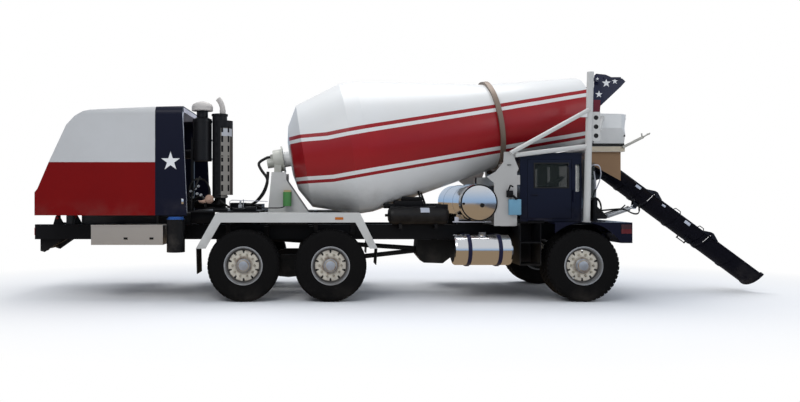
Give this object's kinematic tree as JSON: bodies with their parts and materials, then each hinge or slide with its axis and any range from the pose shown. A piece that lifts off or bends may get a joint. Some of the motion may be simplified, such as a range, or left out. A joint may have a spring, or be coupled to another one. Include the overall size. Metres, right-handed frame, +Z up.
{
  "type": "front-discharge concrete mixer truck",
  "caption": "Concrete mixer truck that discharges over its front: low front cab, tilted striped drum, rear engine hood and a folding chute hanging forward.",
  "frame": {"origin": "on the ground at the middle of the overall length and width", "axes": "+X forward towards the chute, +Y to the truck's left, +Z up"},
  "size_m": [12.1722, 2.456, 3.6335],
  "materials": {
    "tyre": "matte",
    "wheel_paint": "worn gloss",
    "black_steel": "satin",
    "cast_dark": "rough",
    "engine_grey": "rough",
    "bright_metal": "polished",
    "box_aluminium": "brushed",
    "deck_grey": "satin",
    "white_paint": "gloss",
    "drum_white": "gloss",
    "drive_cream": "satin",
    "black_rubber": "matte",
    "skirt_rubber": "matte",
    "navy_paint": "gloss",
    "star_navy": "gloss",
    "glass": "clear",
    "lamp_lens": "gloss",
    "seat_fabric": "woven",
    "dash_plastic": "grained",
    "drum_inside": "worn",
    "track_steel": "worn",
    "chute_navy": "gloss",
    "chrome_rod": "polished",
    "silver_paint": "satin"
  },
  "bodies": {
    "chassis": {"frame_rails": "black_steel", "cross_members": "black_steel", "rear_hitch": "black_steel", "engine_block": "engine_grey", "air_cleaner": "silver_paint", "exhaust": "bright_metal", "service_deck": "deck_grey", "tool_boxes": "box_aluminium", "rear_fenders": "white_paint", "mud_flaps": "black_rubber", "fuel_tanks": "bright_metal", "water_tank": "bright_metal", "air_tanks": "black_steel", "driveline": "cast_dark", "rear_axles": "cast_dark", "front_axle": "cast_dark", "rear_pedestal": "white_paint", "drum_drive": "drive_cream", "hoses": "black_rubber", "front_pedestal": "white_paint", "post_frame": "white_paint", "discharge_hopper": "white_paint", "charge_hopper": "star_navy", "front_fenders": "navy_paint", "lamps": "lamp_lens", "steps": "black_steel", "cab_shell": "navy_paint", "cab_glass": "glass", "cab_seat": "seat_fabric", "cab_controls": "dash_plastic"},
    "hood": {"hood": "white_paint"},
    "drum": {"drum_shell": "drum_white", "drum_fins": "drum_inside", "track_ring": "track_steel"},
    "roller_right": {"roller_right": "cast_dark"},
    "roller_left": {"roller_left": "cast_dark"},
    "door_right": {"door_right": "navy_paint"},
    "door_left": {"door_left": "navy_paint"},
    "knuckle_right": {"knuckle_right": "cast_dark"},
    "knuckle_left": {"knuckle_left": "cast_dark"},
    "tie_rod": {"tie_rod": "black_steel"},
    "chute_swing": {"chute_column": "navy_paint", "chute_skirt": "skirt_rubber"},
    "chute_main": {"chute_main": "chute_navy"},
    "chute_fold": {"chute_fold": "chute_navy"},
    "chute_end": {"chute_end": "chute_navy"},
    "lift_barrel": {"lift_barrel": "silver_paint"},
    "lift_rod": {"lift_rod": "chrome_rod"},
    "wheel_a_right": {"tyre_a_right": "tyre", "rim_a_right": "wheel_paint"},
    "wheel_a_left": {"tyre_a_left": "tyre", "rim_a_left": "wheel_paint"},
    "wheel_b_right": {"tyre_b_right": "tyre", "rim_b_right": "wheel_paint"},
    "wheel_b_left": {"tyre_b_left": "tyre", "rim_b_left": "wheel_paint"},
    "wheel_c_right": {"tyre_c_right": "tyre", "rim_c_right": "wheel_paint"},
    "wheel_c_left": {"tyre_c_left": "tyre", "rim_c_left": "wheel_paint"}
  },
  "joints": [
    {"name": "wheel_a_right_spin", "type": "hinge", "parent": "chassis", "child": "wheel_a_right", "pos_m": [-2.52109, -1.01, 0.556], "axis": [0, 1, 0], "continuous": true},
    {"name": "wheel_a_left_spin", "type": "hinge", "parent": "chassis", "child": "wheel_a_left", "pos_m": [-2.52109, 1.01, 0.556], "axis": [0, 1, 0], "continuous": true},
    {"name": "wheel_b_right_spin", "type": "hinge", "parent": "chassis", "child": "wheel_b_right", "pos_m": [-1.18609, -1.01, 0.556], "axis": [0, 1, 0], "continuous": true},
    {"name": "wheel_b_left_spin", "type": "hinge", "parent": "chassis", "child": "wheel_b_left", "pos_m": [-1.18609, 1.01, 0.556], "axis": [0, 1, 0], "continuous": true},
    {"name": "wheel_c_right_spin", "type": "hinge", "parent": "knuckle_right", "child": "wheel_c_right", "pos_m": [2.68391, -1.01, 0.556], "axis": [0, 1, 0], "continuous": true},
    {"name": "wheel_c_left_spin", "type": "hinge", "parent": "knuckle_left", "child": "wheel_c_left", "pos_m": [2.68391, 1.01, 0.556], "axis": [0, 1, 0], "continuous": true},
    {"name": "steer_left", "type": "hinge", "parent": "chassis", "child": "knuckle_left", "pos_m": [2.68391, 0.865, 0.556], "axis": [0, 0, 1], "range_deg": [-33, 33]},
    {"name": "steer_right", "type": "hinge", "parent": "chassis", "child": "knuckle_right", "pos_m": [2.68391, -0.865, 0.556], "axis": [0, 0, 1], "range_deg": [-33, 33]},
    {"name": "tie_rod_pivot", "type": "hinge", "parent": "knuckle_left", "child": "tie_rod", "pos_m": [2.52891, 0.865, 0.4], "axis": [0, 0, 1], "range_deg": [-33, 33]},
    {"name": "drum_spin", "type": "hinge", "parent": "chassis", "child": "drum", "pos_m": [-1.79609, 0, 2.27], "axis": [0.9871, 0, 0.1599], "continuous": true},
    {"name": "roller_right_spin", "type": "hinge", "parent": "chassis", "child": "roller_right", "pos_m": [1.67302, -0.46836, 2.10126], "axis": [0.9871, 0, 0.1599], "continuous": true},
    {"name": "roller_left_spin", "type": "hinge", "parent": "chassis", "child": "roller_left", "pos_m": [1.67302, 0.46836, 2.10126], "axis": [0.9871, 0, 0.1599], "continuous": true},
    {"name": "hood_tilt", "type": "hinge", "parent": "chassis", "child": "hood", "pos_m": [-5.68609, 0, 1.262], "axis": [0, -1, 0], "range_deg": [0, 60]},
    {"name": "door_right_swing", "type": "hinge", "parent": "chassis", "child": "door_right", "pos_m": [2.58891, -0.998, 1.7], "axis": [0, 0, 1], "range_deg": [0, 65]},
    {"name": "door_left_swing", "type": "hinge", "parent": "chassis", "child": "door_left", "pos_m": [2.58891, 0.998, 1.7], "axis": [0, 0, -1], "range_deg": [0, 65]},
    {"name": "chute_swing", "type": "hinge", "parent": "chassis", "child": "chute_swing", "pos_m": [3.35391, 0, 1.4], "axis": [0, 0, 1], "range_deg": [-55, 55]},
    {"name": "chute_lift", "type": "hinge", "parent": "chute_swing", "child": "chute_main", "pos_m": [3.35391, 0, 1.933], "axis": [0, -1, 0], "range_deg": [0, 30], "deforming": ["chute_skirt"]},
    {"name": "fold_hinge", "type": "hinge", "parent": "chute_main", "child": "chute_fold", "pos_m": [4.26368, 0, 1.67225], "axis": [0, -1, 0], "range_deg": [0, 95]},
    {"name": "end_hinge", "type": "hinge", "parent": "chute_fold", "child": "chute_end", "pos_m": [5.19977, 0, 0.98211], "axis": [0, -1, 0], "range_deg": [0, 170]},
    {"name": "barrel_pivot", "type": "hinge", "parent": "chute_swing", "child": "lift_barrel", "pos_m": [3.53391, 0, 1.262], "axis": [0, -1, 0], "range_deg": [0, 22.38]},
    {"name": "rod_slide", "type": "slide", "parent": "lift_barrel", "child": "lift_rod", "axis": [0.9441, 0, 0.3295], "range_m": [0, 0.348]}
  ],
  "couplings": [
    {"joint": "steer_right", "follows": "steer_left", "ratio": 1},
    {"joint": "tie_rod_pivot", "follows": "steer_left", "ratio": -1},
    {"joint": "roller_right_spin", "follows": "drum_spin", "ratio": -8.5517},
    {"joint": "roller_left_spin", "follows": "drum_spin", "ratio": -8.5517},
    {"joint": "barrel_pivot", "follows": "chute_lift", "ratio": 0.74448},
    {"joint": "rod_slide", "follows": "chute_lift", "m_per_rad": 0.66367}
  ]
}
